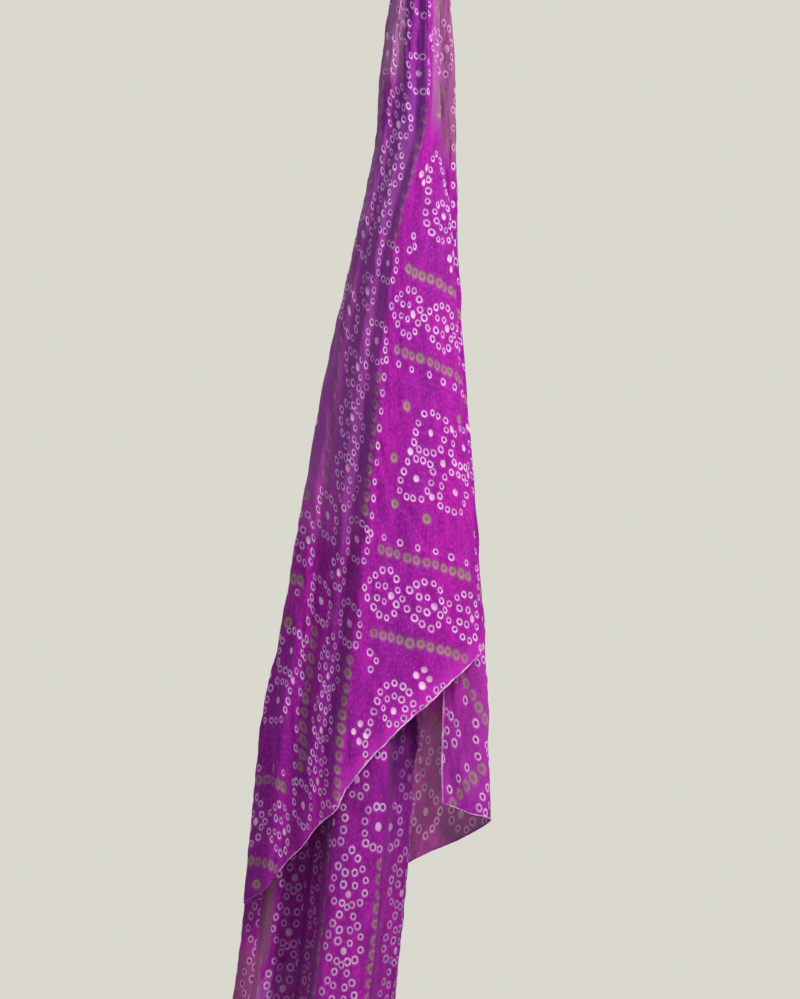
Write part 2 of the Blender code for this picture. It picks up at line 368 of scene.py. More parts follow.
# The cloth is clearer where it lies single. Where it lies in several layers and in shade it
# has painted shade, deeper and bluer; where the wall shows through it, painted light, rosier
# or paler; and where it catches the light, a painted highlight.
FRONT_TONES = (
    # from u, to u, from height, to height, clearness and painted shade and light there
    (-300, -6, -320, -1400, {"painted_shade": 0.12, "clearer": 0.015}),
    (-300, -6, -320, -760, {"painted_pale_light": 0.10, "painted_highlight": 0.35}),
    (-300, -72, -320, -760, {"painted_pale_light": 0.08, "painted_highlight": 0.15}),
    (-64, -32, -400, -620, {"painted_shade": 0.14}),
    (-60, -30, -600, -900, {"painted_shade": 0.22}),
    (-50, 3, -60, -420, {"painted_blue_shade": 0.30}),
    (-300, -6, -262, -700, {"painted_blue_shade": 0.35}),
    (-62, -6, -700, -1000, {"painted_blue_shade": 0.2}),
    (-9, 7, -60, -690, {"painted_blue_shade": 0.25}),
    (-26, 7, -230, -600, {"painted_highlight": 0.25}),
    (-26, 7, -600, -965, {"painted_shade": 0.20}),
    (-96, -80, -420, -1180, {"painted_shade": 0.25, "painted_light_through": 0.2}),
    (-300, -150, -700, -1300, {"painted_shade": 0.15, "painted_light_through": 0.1}),
    (-160, -42, -60, -255, {"painted_pale_light": 0.66, "clearer": 0.03}),
    (22, 120, -60, -300, {"painted_pale_light": 0.42, "painted_shade": 0.12, "clearer": 0.03}),
)
# Painted highlights on the flap, painted light through it where the wall shows, and painted shade
# in its folds.
FLAP_TONES = (
    (-800, -655, -860, -1052, {"painted_highlight": 0.3, "painted_pale_light": 0.05}),
    (-900, -660, -60, -330, {"painted_pale_light": 0.44, "painted_shade": 0.20, "painted_light_through": 0.5, "clearer": 0.08}),
    (-655, -400, -700, -1300, {"painted_shade": 0.04, "painted_light_through": 0.8}),
    (-655, -400, -700, -960, {"painted_highlight": 1, "clearer": -0.045}),
    (-655, -400, -960, -1070, {"painted_highlight": 0.5}),
    (-690, -600, -1052, -1200, {"painted_shade": 0.45, "painted_light_through": 0.3}),
)
# Mostly painted shade: deepest in the hollow beside the bright strip under the front fall's hem,
# and in the folds left of the strip; painted light where the wall shows through.
BACK_TONES = (
    (-300, -225, -60, -330, {"painted_pale_light": 0.5, "clearer": 0.06}),
    (4, 74, -880, -1030, {"painted_shade": 0.88}),
    (4, 90, -1010, -1400, {"painted_shade": 0.50, "clearer": -0.04}),
    (-88, 4, -1000, -1400, {"painted_shade": 0.19, "painted_blue_shade": 0.06, "clearer": -0.045}),
    (-212, -88, -900, -1400, {"painted_shade": 0.66, "clearer": -0.045}),
    (-240, -222, -1140, -1235, {"painted_shade": 0.66, "painted_light_through": 1, "painted_pale_light": 0.50, "clearer": -0.045}),
    (-340, -232, -1120, -1215, {"painted_shade": 0.62, "painted_light_through": 0.3, "clearer": -0.045}),
    (-340, -232, -1230, -1400, {"painted_shade": 0.40, "painted_light_through": 0.9, "painted_pale_light": 0.35, "clearer": -0.045}),
)

CREASE_SWAY = 2.5
CREASE_SWAY_TURN = 5
CREASE_FADE = 0.7
CRINKLE_SWAY = 0.6
CRINKLE_SWAY_LENGTHS = (160, 320)
CRINKLE_SWAY_PHASES = (0, 6)
CRINKLE = (
    # waves a metre across, waves a metre along, height in mm
    (68, 13, 0.20),
    (-92, 24, 0.15),
    (41, -21, 0.30),
    (117, 37, 0.10),
    (22, 12, 0.50),
    (-31, 9, 0.40),
)


def through(stations, values, at):
    """A smooth curve through falling stations, without overshoot, read at an array of heights."""
    stations = np.asarray(stations, float)
    values = np.asarray(values, float)
    steps = stations[:-1] - stations[1:]
    slopes = np.diff(values) / steps
    both = slopes[:-1] * slopes[1:]
    turning = both <= 0
    total = np.where(turning, 1.0, slopes[:-1] + slopes[1:])
    inner = np.where(turning, 0.0, 2 * both / total)
    tangents = np.concatenate((slopes[:1], inner, slopes[-1:]))
    at = np.clip(at, stations[-1], stations[0])
    i = np.clip(np.searchsorted(-stations, -at, side="right") - 1, 0, len(steps) - 1)
    t = (stations[i] - at) / steps[i]
    rise = values[i + 1] - values[i]
    first = tangents[i] * steps[i]
    last = tangents[i + 1] * steps[i]
    bend = 3 * rise - 2 * first - last + t * (first + last - 2 * rise)
    return values[i] + t * (first + t * bend)


def running(steps):
    """How far it is to each point along a line, from the steps between them."""
    return np.concatenate(((0.0,), np.cumsum(steps)))


def soft(value, low, high):
    """A soft step from 0 at low to 1 at high."""
    t = np.clip((value - low) / (high - low), 0.0, 1.0)
    return t * t * (3 - 2 * t)


def on_fold(row, heights):
    """The points of a fold line at an array of heights."""
    stations, lefts, rights = OUTLINE.T
    left = through(stations, lefts, heights)
    right = through(stations, rights, heights)
    across_at, out_at = row[1:3]
    across = through(ACROSS_AT, across_at, heights)
    out = through(OUT_AT, out_at, heights)
    return np.stack((left + across * (right - left), -out, heights), axis=-1)


def blended(four, knots, at):
    """Points of a Catmull-Rom segment, by Barry and Goldman's pyramid."""
    level = four
    for spans in (((0, 1), (1, 2), (2, 3)), ((0, 2), (1, 3)), ((1, 2),)):
        level = [
            p + (q - p) * ((at - knots[a]) / (knots[b] - knots[a]))[:, None]
            for p, q, (a, b) in zip(level, level[1:], spans)
        ]
    return level[0]


def rounded(lines):
    """Rings through the fold lines of lines[ring, fold], whose first three numbers are places."""
    first = 2 * lines[:, :1] - lines[:, 1:2]
    last = 2 * lines[:, -1:] - lines[:, -2:-1]
    ends = np.concatenate((first, lines, last), axis=1)
    spread = np.sqrt(np.linalg.norm(np.diff(ends[..., PLACE], axis=1), axis=2))
    knots = np.concatenate((np.zeros((len(ends), 1)), np.cumsum(spread, axis=1)), axis=1)
    columns = []
    for i in range(ends.shape[1] - 3):
        four = [ends[:, i + k] for k in range(4)]
        near = [knots[:, i + k] for k in range(4)]
        for step in range(PER_FOLD):
            at = near[1] + (near[2] - near[1]) * step / PER_FOLD
            columns.append(blended(four, near, at))
    columns.append(lines[:, -1])
    return np.stack(columns, axis=1)


def evenly(rings):
    """The same rings with their cells spaced evenly over the cloth, about CELL wide."""
    widest = np.abs(np.diff(rings[..., U], axis=1)).sum(axis=1).max()
    count = int(widest / CELL) + 1
    even = np.empty((len(rings), count, rings.shape[2]))
    for ring, spaced in zip(rings, even):
        room = np.linalg.norm(np.diff(ring[:, PLACE], axis=0), axis=1)
        cloth = np.abs(np.diff(ring[:, U])) + SPACED_BY_ROOM * room
        run = running(cloth)
        places = np.linspace(0.0, run[-1], count)
        for channel in range(rings.shape[2]):
            spaced[:, channel] = np.interp(places, run, ring[:, channel])
    return even


def hang(rows, cloth_place):
    """Fold lines down to their hems, with the cloth's own u and v beside each point."""
    hems = [row[3] for row in rows]
    part = np.linspace(0.0, 1.0, int((JOIN_Z - min(hems)) / ROW) + 1)
    lines = []
    for row, hem in zip(rows, hems):
        heights = JOIN_Z + part * (hem - JOIN_Z)
        u, v = cloth_place(row, heights)
        lines.append(np.column_stack((on_fold(row, heights), u, v)))
    return rounded(np.stack(lines, axis=1))


def front_place(row, heights):
    """Where the front fall's cloth lies uncut: its weft hangs lower away from the ridge."""
    warp_at, droop_at = row[4:]
    weft = through(WEFT_AT, WEFT, heights) - through(WARP_AT, droop_at, heights)
    return through(WARP_AT, warp_at, heights), weft


def back_warps():
    """How far across the uncut cloth each fold of the sheet behind lies, told low down."""
    low = np.array([on_fold(row, LOW_DOWN)[0] for row in BACK_SHEET])
    run = running(np.linalg.norm(np.diff(low, axis=0), axis=1))
    names = [row[0] for row in BACK_SHEET]
    run = (run - run[names.index("strip_left")]) * DRAWN_IN - BAND + STRIP_LEFT_WARP
    return dict(zip(names, run))


BACK_WARPS = back_warps()
FLAP_PIVOT = (BACK_WARPS["flap_face"], FLAP_PIVOT_V)


def back_place(row, heights):
    """Straight down the folds."""
    return np.full(len(heights), BACK_WARPS[row[0]]), BACK_START + (heights - JOIN_Z) * BACK_SCALE


def fanned(u, heights):
    """Where the cloth behind is gathered at the top, its pattern draws in towards the flap."""
    pivot = FLAP_PIVOT[0]
    return pivot + (u - pivot) * through(FAN_AT, FAN, heights)


def on_the_bias(rings):
    """The flap's cloth hangs by its corner, so low down its pattern lies turned.

    Behind its right fold the pattern goes on further along, as some cloth is folded away.
    """
    out = rings.copy()
    turn = FLAP_TURN * soft(-rings[..., Z], -TURN_FROM, -TURN_BY)
    du = fanned(rings[..., U], rings[..., Z]) - FLAP_PIVOT[0] - tuck(rings)
    dv = rings[..., V] - FLAP_PIVOT[1]
    out[..., U] = FLAP_PIVOT[0] + FLAP_SHIFT[0] + np.cos(turn) * du - np.sin(turn) * dv
    out[..., V] = FLAP_PIVOT[1] + FLAP_SHIFT[1] + np.sin(turn) * du + np.cos(turn) * dv
    fold = BACK_WARPS["right_fold"]
    behind = soft(rings[..., U], fold, fold + FLAP_HIDDEN_OVER)
    out[..., U] += FLAP_HIDDEN[0] * behind
    out[..., V] += FLAP_HIDDEN[1] * behind
    return out


def over_the_bar():
    """The gather from the front fall's top over the bar to the sheet behind."""
    place = np.linspace(-1.0, 1.0, OVER_BAR_STEPS + 1)
    turn = math.pi / 2 * (1 + np.clip(place / ROUND_SHARE, -1, 1))
    drop = np.maximum(np.abs(place) - ROUND_SHARE, 0) / (1 - ROUND_SHARE) * (JOIN_Z + GAP)
    behind = (1 + np.sin(place * math.pi / 2)) / 2
    on_top = np.cos(place * math.pi / 2) ** 2
    joint = np.array([JOIN_Z])
    lines = []
    for front_row, back_row, top_reach in zip(FRONT_FALL, MET_BEHIND, TOP_REACH):
        a = on_fold(front_row, joint)[0]
        b = on_fold(back_row, joint)[0]
        reach = np.where(place < 0, -BAR_OUT - a[1], b[1] + BAR_OUT)
        reach = reach + on_top * (top_reach - reach)
        x = a[0] + behind * (b[0] - a[0])
        y = -BAR_OUT - reach * np.cos(turn)
        z = drop + reach * np.sin(turn)
        u, v = front_place(front_row, joint)
        u = u[0] + behind * (fanned(BACK_WARPS[back_row[0]], joint) - u[0])
        v = v[0] + (1 + place) / 2 * (BACK_START - v[0])
        lines.append(np.column_stack((x, y, z, u, v)))
    return rounded(np.stack(lines, axis=1))


# ---- Creases, crinkle and hems, as moves of the sheet's points ----

def normals(points):
    """The unit normal of a grid of points, towards the viewer where the columns run left."""
    across = np.gradient(points, axis=1)
    down = np.gradient(points, axis=0)
    normal = np.cross(down, across)
    return normal / np.maximum(np.linalg.norm(normal, axis=2, keepdims=True), 1e-9)


def crease(u, v, start, end, width, depth):
    """A soft trough or ridge along a line, deepest in its middle and fading at its ends."""
    line = np.subtract(end, start)
    length = np.hypot(*line)
    du = u - start[0]
    dv = v - start[1]
    along = (du * line[0] + dv * line[1]) / length
    off = (du * line[1] - dv * line[0]) / length
    off = off + CREASE_SWAY * np.sin(along / length * CREASE_SWAY_TURN + start[0])
    fade = np.clip(along / length, 0, 1)
    fade = np.sin(math.pi * fade) ** CREASE_FADE
    return depth * fade * np.exp(-((off / width) ** 2))


def crinkled(u, v):
    """The small uneven crinkle of georgette."""
    rng = np.random.default_rng(RNG_SEED)
    height = np.zeros_like(u)
    for across, along, rise in CRINKLE:
        phase = rng.uniform(0, 2 * math.pi)
        length = rng.uniform(*CRINKLE_SWAY_LENGTHS)
        sway = CRINKLE_SWAY * np.sin(2 * math.pi * v / length + rng.uniform(*CRINKLE_SWAY_PHASES))
        height += rise * np.sin(2 * math.pi * MM * (u * across + v * along) + phase + sway)
    return height


def shaped(rings, move):
    """The rings with their places moved along the normal."""
    out = rings.copy()
    out[..., PLACE] += normals(rings[..., PLACE]) * move[..., None]
    return out


def pleats(rings, share):
    """The fine gathers at the bar, which open out and fade on the way down."""
    drop = JOIN_Z - rings[..., Z]
    fade = np.exp(-np.maximum(drop, 0.0) / PLEAT_FADE)
    sway = sum(far * np.sin(2 * math.pi * waves * share + at) for far, waves, at in PLEAT_SWAYS)
    return PLEAT_DEPTH * fade * np.sin(2 * math.pi * (PLEATS * share + sway))


def crinkle_fade(rings):
    """No crinkle at the joint with the gather, so that the sheets' edges stay together."""
    return np.clip(np.arange(len(rings)) / CRINKLE_FREE_ROWS, 0, 1)[:, None]


def shares(rings):
    """The share of the way across at each point."""
    return np.linspace(0, 1, rings.shape[1])[None].repeat(len(rings), 0)


def hill(value, middle, reach):
    """A soft hill of 1 at the middle."""
    return np.exp(-(((value - middle) / reach) ** 2))


def by_the_hem(rings):
    """How near to its hem each point is, and how far the hem waves there."""
    near = np.exp((rings[-1:, :, Z] - rings[..., Z]) / HEM_CURL_HEIGHT)
    u = rings[-1, :, U]
    wave = sum(rise * np.sin(2 * math.pi * u / length) for length, rise in HEM_WAVES)
    return near, wave[None]


def front_fall():
    """The front fall with its creases, crinkle, pleats and curled hem."""
    rings = evenly(hang(FRONT_FALL, front_place))
    u, v = rings[..., U], rings[..., V]
    move = crinkled(u, v)
    for u0, v0, u1, v1, width, depth in FRONT_CREASES:
        move += crease(u, v, (u0, v0), (u1, v1), width, depth)
    move *= crinkle_fade(rings)
    move += front_hem(rings) + pleats(rings, shares(rings))
    return shaped(rings, move)


def front_hem(rings):
    """The hem rolls outwards, most where it crosses the ridge, and waves a little."""
    near, wave = by_the_hem(rings)
    most = hill(rings[-1, :, U], HEM_CURL_AT, HEM_CURL_REACH)
    most = HEM_CURL_LEAST + (1 - HEM_CURL_LEAST) * most
    return near ** 2 * HEM_CURL * most[None] + near * wave


def back_sheet():
    """The whole sheet behind, which is then cut into the flap and the pleated fall."""
    rings = evenly(hang(BACK_SHEET, back_place))
    move = crinkled(rings[..., U], rings[..., V])
    share = shares(rings)
    width_all = rings[-1, -1, U] - rings[-1, 0, U]
    for at, top, bottom, lean, width, depth in BACK_CREASES:
        start = (at * width_all, -top)
        end = ((at + lean) * width_all, -bottom)
        move += crease(share * width_all, -rings[..., Z], start, end, width * DRAWN_IN, depth)
    near, wave = by_the_hem(rings)
    move = move * crinkle_fade(rings) + near * wave + pleats(rings, gather_shares(rings))
    return tucked_in(beside_strip(shaped(rings, -move)))


def tuck(rings):
    """How far in each point of the flap's selvage lies."""
    height = rings[..., Z]
    edge = soft(-rings[..., U], -BACK_WARPS["flap_face"], -BACK_WARPS["selvage"])
    high = soft(height, TUCK_LOW, TUCK_HIGH) * soft(-height, -JOIN_Z, -JOIN_Z + TUCK_FADE)
    return TUCK * edge * high


def tucked_in(rings):
    """High up, the flap's selvage lies further in, behind the front fall."""
    out = rings.copy()
    out[..., X] -= tuck(rings)
    return out


def beside_strip(rings):
    """The fold beside the bright strip is drawn in, most at its top, where its edge bulges."""
    out = rings.copy()
    u, height = rings[..., U], rings[..., Z]
    start, whole, ends, gone = HOLLOW_ACROSS
    within = soft(u, start, whole) * soft(-u, -gone, -ends)
    top = hill(height, HOLLOW_Z, HOLLOW_HEIGHT)
    below = soft(HOLLOW_Z - height, 0.0, HOLLOW_FADE)
    out[..., Y] += within * (HOLLOW_DEPTH * top + HOLLOW_REST * below * (1 - top))
    edge = hill(u, BACK_WARPS["side_edge"], HOLLOW_BULGE_REACH)
    out[..., X] += edge * HOLLOW_BULGE * hill(height, HOLLOW_Z, HOLLOW_BULGE_REACH)
    return out


def folded_away(rings):
    """Some of the cloth lies hidden in the sharp folds beside the strip, so its pattern skips."""
    out = rings.copy()
    for start, end, hidden in FOLDED_AWAY:
        out[..., U] += hidden * soft(rings[..., U], start, end)
    out[..., U] = fanned(out[..., U], rings[..., Z])
    return out


def gather_shares(rings):
    """The share of the gather that each place on the sheet's top edge meets."""
    u = rings[0, :, U]
    last = MET_BEHIND[len(TOP_REACH) - 1]
    share = np.interp(u, (u[0], BACK_WARPS[last[0]]), (0.0, 1.0))
    return share[None].repeat(len(rings), 0)


def column_at(row, u):
    """The column of a row of points that lies nearest to a place across the cloth."""
    return int(np.argmin(np.abs(row[:, U] - u)))


def gathered_over_bar():
    """The gather with its cells evened out and its pleats."""
    rings = evenly(over_the_bar())
    flat = rings.copy()
    flat[..., Z] = JOIN_Z
    return shaped(rings, pleats(flat, shares(rings)))


# ---- The repeat's dots ----

RING, SOLID, LINE, SPOT = range(4)


def mirrored(chart):
    """Both halves of a motif charted on one side of its middle line."""
    return [(sign * x, y, solid) for x, y, solid in chart for sign in (-1, 1) if x or sign > 0]


def turned(dots, quarter):
    """A motif turned by quarters of a circle."""
    for _ in range(quarter % 4):
        dots = [(-y, x, solid) for x, y, solid in dots]
    return dots


def loop(cx, cy, rx, ry, count, start, square=2.0):
    """Ring dots round an ellipse, or round a squarer loop where square is over 2."""
    dots = []
    for i in range(count):
        angle = start + 2 * math.pi * i / count
        x, y = math.cos(angle), math.sin(angle)
        out = (abs(x) ** square + abs(y) ** square) ** (-1 / square)
        dots.append((cx + rx * out * x, cy + ry * out * y, RING))
    return dots


def core(rx, ry, count, start):
    """A loop of rings round a solid dot."""
    return loop(0.0, 0.0, rx, ry, count, start) + [(0.0, 0.0, SOLID)]


def petals(reach, radius, count):
    """A flower of four squarish petals, each with a solid dot in it."""
    dots = []
    for sx in (-1, 1):
        for sy in (-1, 1):
            start = math.atan2(sy, sx)
            dots += loop(sx * reach[0], sy * reach[1], *radius, count, start, PETAL_SQUARE)
            dots.append((sx * reach[0], sy * reach[1], SOLID))
    return dots


def moved(dots, x, y):
    """A motif moved across and up."""
    return [(x + dx, y + dy, kind) for dx, dy, kind in dots]


def placed(spots, kind):
    """Dots of one kind at listed places."""
    return [(x, y, kind) for x, y in spots]


def framed():
    """A square frame of dots, with fewer of them along its level sides."""
    dots = []
    for quarter, gaps in enumerate((FRAME_GAPS_ACROSS, FRAME_GAPS_DOWN) * 2):
        row = [(FRAME_REACH * (2 * i / gaps - 1), FRAME_REACH, RING) for i in range(gaps)]
        dots += turned(row, quarter)
    return dots


def flower_panel():
    """A square frame of dots round a four-petalled flower."""
    flower = petals(*FLOWER_PETALS) + placed(FLOWER_SOLIDS, SOLID)
    flower = [(x + FLOWER_SKEW * y, y, kind) for x, y, kind in flower]
    return framed() + moved(flower, *FLOWER_AT) + placed(FLOWER_SPOTS, SPOT)


def crossing():
    """Where two bands cross: a petal in each corner round a small ring."""
    return petals(*CROSSING_PETALS) + core(*CROSSING_CORE)


def paisley_outline():
    """Dots evenly round a paisley, whose tail runs down to the left."""
    degrees = np.arange(-180, 181)
    tail = np.exp(-(degrees / PAISLEY_TAPER) ** 2)
    reach = PAISLEY_RADIUS + PAISLEY_TAIL * tail
    turn = np.radians(PAISLEY_LEAN + degrees) + PAISLEY_CURL * tail
    x, y = reach * np.cos(turn), reach * np.sin(turn)
    run = running(np.hypot(np.diff(x), np.diff(y)))
    places = np.linspace(0, run[-1], PAISLEY_DOTS, endpoint=False)
    return placed(zip(np.interp(places, run, x), np.interp(places, run, y)), RING)


def paisley_panel(way):
    """A paisley round a ring of dots, with clusters of dots about it."""
    dots = moved(paisley_outline(), *PAISLEY_AT)
    dots += moved(core(*PAISLEY_CORE), *PAISLEY_CORE_AT)
    for place in PAISLEY_CLUSTERS:
        dots += moved(placed(CLUSTER, SOLID), *place)
    dots += placed(PAISLEY_RINGS, RING) + placed(PAISLEY_SPOTS, SPOT)
    return [(x, way * y, kind) for x, y, kind in dots]


def leaf_band(pitch, longer, way):
    """Leaves up a band between two crossings, all pointing one way."""
    dots = []
    for i in range(LEAVES):
        middle = (i - (LEAVES - 1) / 2) * pitch
        dots += [(x, way * y * longer + middle, solid) for x, y, solid in mirrored(LEAF)]
    return dots


def whole_pattern(low, high):
    """Every dot with u and v between low and high: its place and its kind."""
    rng = np.random.default_rng(RNG_SEED)
    dots = []

    def put(cu, cv, chart):
        for x, y, kind in chart:
            wobble = rng.normal(0, DOT_WOBBLE, 2)
            dots.append((cu + x + wobble[0], cv - y + wobble[1], kind))

    for i in range(math.floor(low[0] / REPEAT) - 1, math.ceil(high[0] / REPEAT) + 1):
        for j in range(math.floor(low[1] / REPEAT) - 2, math.ceil(high[1] / REPEAT) + 1):
            u0, v0 = i * REPEAT, WEFT_START + j * REPEAT
            panel_u, panel_v = u0 + PANEL / 2, v0 + BAND + PANEL / 2
            band_u, band_v = u0 - BAND / 2, v0 + BAND / 2
            # Flowers and paisleys take turns, and in some rows a motif points the other way.
            panel = flower_panel() if (i + j) % 2 == 0 else paisley_panel(1 if j % 4 == 1 else -1)
            put(panel_u, panel_v, panel)
            put(band_u, panel_v, leaf_band(*LEAF_BAND, -1 if j % 2 else 1))
            put(panel_u, band_v, turned(leaf_band(*LEAF_BAND_ACROSS, -1), 1))
            put(band_u, band_v, crossing())
            for k in range(LINE_END, LINE_DOTS - LINE_END):
                along = (k + 0.5) * PANEL / LINE_DOTS
                put(u0 + along, v0, [(0, 0, LINE), (0, -BAND, LINE)])
                put(u0, v0 + BAND + along, [(0, 0, LINE), (PANEL, 0, LINE)])
    return [d for d in dots if low[0] < d[0] < high[0] and low[1] < d[1] < high[1]]


class Dots:
    """The dots on one sheet, and which of them is nearest to a place in the cloth."""

    def __init__(self, u, v, more_rings):
        low = (u.min() - DOT_MARGIN, v.min() - DOT_MARGIN)
        high = (u.max() + DOT_MARGIN, v.max() + DOT_MARGIN)
        dots = whole_pattern(low, high) + placed(more_rings, RING)
        self.tree = kdtree.KDTree(len(dots))
        for i, dot in enumerate(dots):
            self.tree.insert((dot[0], dot[1], 0.0), i)
        self.tree.balance()
        rng = np.random.default_rng(RNG_SEED + 1)
        self.places = np.array([dot[:2] for dot in dots])
        self.kinds = np.array([dot[2] for dot in dots])
        self.strength = rng.uniform(*DOT_STRENGTH, len(dots))
        self.strength *= np.where(self.kinds == LINE, LINE_STRENGTH, 1.0)
        sizes = np.array((DOT, SOLID_DOT, LINE_DOT, LINE_DOT))
        self.sizes = sizes[self.kinds] * rng.uniform(*DOT_SPREAD, (len(dots), 1))

    def nearest(self, u, v):
        """The number of the dot nearest to each place."""
        return np.array([self.tree.find((a, b, 0.0))[1] for a, b in zip(u, v)])

    def offsets(self, u, v, nearest):
        """How far each place is from its dot's middle, in the dot's own radii."""
        middle = self.places[nearest]
        size = self.sizes[nearest]
        if u.ndim == 2:
            middle, size = middle[:, None], size[:, None]
        return (u - middle[..., 0]) / size[..., 0], (v - middle[..., 1]) / size[..., 1]


def puckered(rings, dots, way):
    """Each dot stands up a little, where the cloth was tied."""
    u, v = rings[..., U].ravel(), rings[..., V].ravel()
    nearest = dots.nearest(u, v)
    off_u, off_v = dots.offsets(u, v, nearest)
    rise = np.clip(1 - (off_u**2 + off_v**2) / PUCKER_REACH**2, 0, 1) ** 2
    rise *= PUCKER * dots.strength[nearest]
    return shaped(rings, way * rise.reshape(rings.shape[:2]))


def tie_dyed(mesh, u, v, quads, dots):
    """Gives each face its nearest dot: the offset from the dot's middle, and the dot's look."""
    nearest = dots.nearest(u[quads].mean(axis=1), v[quads].mean(axis=1))
    offsets = dots.offsets(u[quads], v[quads], nearest)
    layer = mesh.uv_layers.new(name="Dots")
    layer.data.foreach_set("uv", np.stack(offsets, axis=2).ravel())
    look = mesh.attributes.new("dot_look", "FLOAT_VECTOR", "FACE")
    kind = dots.kinds[nearest]
    spread = u[quads].max(axis=1) - u[quads].min(axis=1)
    strength = np.where(spread < WIDEST_FACE, dots.strength[nearest], 0.0)
    rows = np.stack((kind == RING, kind >= LINE, strength), axis=1).astype(float)
    look.data.foreach_set("vector", rows.ravel())


def tones(rows, rings):
    """How each point looks: its opacity and its shares of each kind of painted shade and light."""
    u, height = rings[..., U], rings[..., Z]
    opacity = np.full(u.shape, CLOTH_OPACITY)
    plain = {kind: np.ones(u.shape) for kind in ("painted_shade", "painted_light_through", "painted_blue_shade", "painted_pale_light", "painted_highlight")}
    for u0, u1, top, bottom, looks in rows:
        share = soft(u, u0 - TONE_EDGE, u0 + TONE_EDGE) * soft(-u, -u1 - TONE_EDGE, -u1 + TONE_EDGE)
        share = share * soft(-height, -top - TONE_FADE, -top + TONE_FADE)
        share = share * soft(height, bottom - TONE_FADE, bottom + TONE_FADE)
        for kind, amount in looks.items():
            if kind == "clearer":
                opacity -= amount * share
            else:
                plain[kind] *= 1 - amount * share
    # The tone holds the opacity, painted shade and painted light through the cloth; the other holds
    # painted blue shade, painted pale light and a painted highlight.
    tone = np.stack((opacity, 1 - plain["painted_shade"], 1 - plain["painted_light_through"]), axis=2)
    painted_light_and_shade = np.stack((1 - plain["painted_blue_shade"], 1 - plain["painted_pale_light"], 1 - plain["painted_highlight"]), axis=2)
    return {"tone": tone, "painted_light_and_shade": painted_light_and_shade}


def painted_hem_highlight(looks, rings):
    """A painted highlight on the curled hem of the front fall, where it catches the light, most
    towards its right.
    """
    above = rings[..., Z] - rings[-1:, :, Z]
    lit = HEM_PAINTED_HIGHLIGHT * soft(-above, -HEM_LIT_HEIGHT, 0.0) * soft(rings[..., U], *HEM_LIT_FROM)
    highlight_share = looks["painted_light_and_shade"][..., 2]
    highlight_share[...] = 1 - (1 - highlight_share) * (1 - lit)
    return looks


def added(name, data):
    """A new object in the scene."""
    made = bpy.data.objects.new(name, data)
    bpy.context.scene.collection.objects.link(made)
    return made


def sheet_mesh(name, rings, looks, way, more_rings=()):
    """A single sheet of cloth on a grid of points, with its place in the uncut cloth."""
    dots = Dots(rings[..., U], rings[..., V], more_rings)
    rings = puckered(rings, dots, way)
    down, across = rings.shape[:2]
    mesh = bpy.data.meshes.new(name)
    index = np.arange(down * across).reshape(down, across)
    quads = np.stack(
        (index[:-1, :-1], index[1:, :-1], index[1:, 1:], index[:-1, 1:]), axis=-1
    ).reshape(-1, 4)
    mesh.from_pydata((rings[..., PLACE] * MM).reshape(-1, 3), [], quads)
    mesh.validate()
    u = rings[..., U].ravel()
    v = rings[..., V].ravel()
    cloth = mesh.uv_layers.new(name="Cloth")
    cloth.data.foreach_set("uv", (np.stack((u[quads], v[quads]), axis=2) * MM).ravel())
    tie_dyed(mesh, u, v, quads, dots)
    for look, values in looks.items():
        layer = mesh.attributes.new(look, "FLOAT_VECTOR", "POINT")
        layer.data.foreach_set("vector", values.ravel())
    mesh.shade_smooth()
    return added(name, mesh)


def thread(name, points, radius, thickness=None, roundness=ROLL_ROUNDNESS):
    """A rolled and overlocked edge: a thin round roll along the cloth's edge."""
    curve = bpy.data.curves.new(name, "CURVE")
    curve.dimensions = "3D"
    curve.bevel_depth = radius * MM
    curve.bevel_resolution = roundness
    curve.use_fill_caps = True
    line = curve.splines.new("POLY")
    line.points.add(len(points) - 1)
    for point, place in zip(line.points, points):
        point.co = (*(place * MM), 1.0)
    if thickness is not None:
        line.points.foreach_set("radius", thickness)
    return added(name, curve)


# ---- Materials ----

